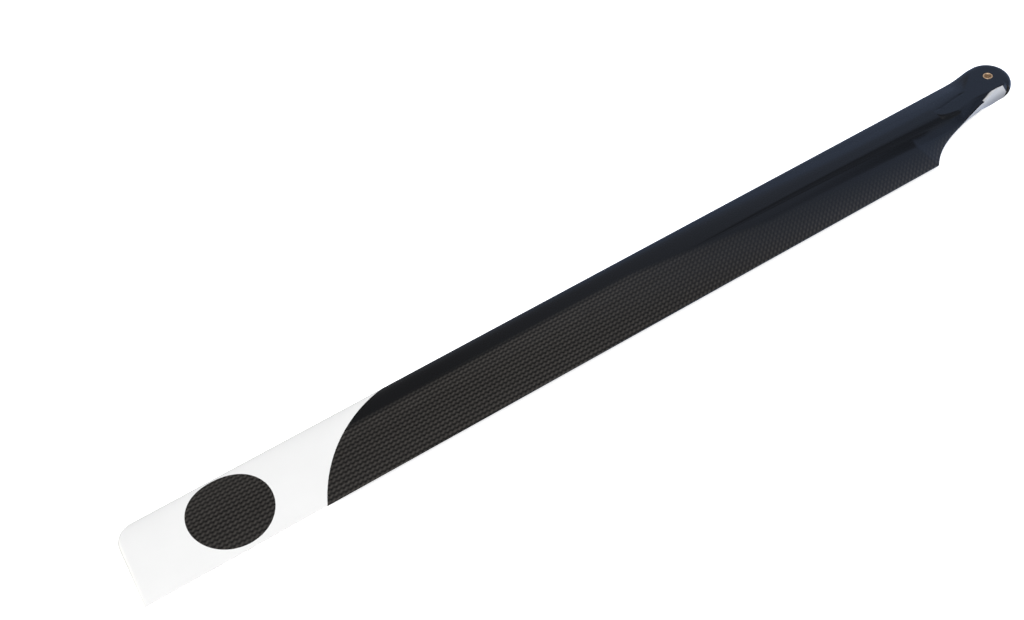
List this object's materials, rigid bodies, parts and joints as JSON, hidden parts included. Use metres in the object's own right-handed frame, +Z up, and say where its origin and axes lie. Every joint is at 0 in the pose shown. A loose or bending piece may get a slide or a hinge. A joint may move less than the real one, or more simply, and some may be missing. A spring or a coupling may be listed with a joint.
{
  "type": "helicopter rotor blade",
  "caption": "Moulded carbon main rotor blade of a model helicopter: thick flat root with a metal bolt bush, spar fairing, symmetric section and raked tip.",
  "frame": {"origin": "on the bolt axis, at half the root's thickness", "axes": "+X along the span to the tip, +Y across the chord to the trailing edge, +Z up along the bolt axis"},
  "size_m": [0.707, 0.061, 0.014],
  "materials": {
    "carbon": "clear-coated woven carbon with a gloss white tip",
    "brass": "turned metal, lightly polished"
  },
  "bodies": {
    "root": {"blade": "carbon", "bolt_bush": "brass"}
  },
  "joints": []
}
